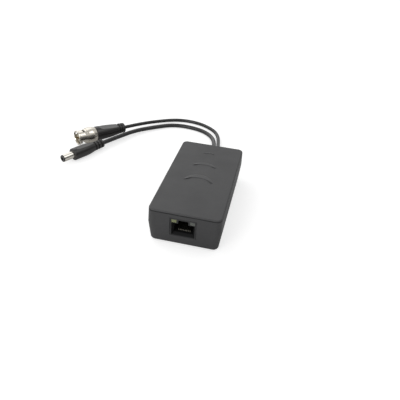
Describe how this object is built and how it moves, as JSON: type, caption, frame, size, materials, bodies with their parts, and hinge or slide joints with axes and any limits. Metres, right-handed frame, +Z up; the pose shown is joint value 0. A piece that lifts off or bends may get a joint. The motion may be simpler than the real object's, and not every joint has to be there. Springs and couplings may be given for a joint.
{
  "type": "video balun",
  "caption": "Dark flat box with a modular jack in its front wall and two short captive leads from its back: a coaxial lead with a bayonet plug and a power lead with a barrel plug.",
  "frame": {"origin": "middle of the underside of the box", "axes": "+Y along the box from the jack towards the leads, +X to the right seen from the jack's end, +Z up"},
  "size_m": [0.139, 0.1673, 0.0246],
  "materials": {
    "shell_plastic": "fine spark texture, dark grey",
    "jack_plastic": "smooth, near black",
    "contact_gold": "thin gold plate",
    "led_yellow": "translucent yellow-green",
    "led_green": "translucent pale green",
    "board_green": "solder mask",
    "ferrite": "sintered, coated",
    "copper": "enamelled copper",
    "arrestor_plate": "tinned",
    "fuse_yellow": "epoxy dip",
    "diode_black": "moulded epoxy",
    "capacitor_tan": "fired ceramic",
    "screw_steel": "zinc plate",
    "lead_jacket": "soft black jacket, satin",
    "boot_plastic": "moulded black, satin",
    "wire_red": "thin insulation",
    "wire_black": "thin insulation",
    "wire_white": "thin insulation",
    "tie_nylon": "natural nylon",
    "nickel": "bright nickel plate",
    "spring_steel": "spring temper",
    "insulator_white": "smooth, white",
    "gasket_rubber": "soft"
  },
  "bodies": {
    "balun": {"case_base": "shell_plastic", "case_lid": "shell_plastic", "case_screws": "screw_steel", "circuit_board": "board_green", "jack_housing": "jack_plastic", "jack_contacts": "contact_gold", "jack_led_left": "led_yellow", "jack_led_right": "led_green", "balun_core": "ferrite", "balun_winding": "copper", "surge_arrestor": "arrestor_plate", "resettable_fuse": "fuse_yellow", "surge_diodes": "diode_black", "chip_capacitors": "capacitor_tan", "coax_tail": "lead_jacket", "power_tail": "lead_jacket", "coax_screen_wire": "copper", "coax_core_wire": "wire_white", "power_black_wire": "wire_black", "power_red_wire": "wire_red", "cable_tie": "tie_nylon", "bnc_body": "nickel", "bnc_insulator": "insulator_white", "bnc_centre_pin": "contact_gold", "bnc_gasket": "gasket_rubber", "bnc_wave_washer": "spring_steel", "bnc_thrust_washer": "spring_steel", "bnc_retaining_ring": "spring_steel", "bnc_boot": "boot_plastic", "dc_barrel": "nickel", "dc_insulator": "boot_plastic", "dc_inner_contact": "nickel", "dc_plug_body": "boot_plastic", "coax_lead": "lead_jacket", "power_lead": "lead_jacket"},
    "collar": {"bnc_collar": "nickel"}
  },
  "joints": [
    {"name": "collar_turn", "type": "hinge", "parent": "balun", "child": "collar", "pos_m": [-0.1049, 0.05897, 0.0067], "axis": [0.6424, 0.7656, -0.0358], "continuous": true}
  ]
}
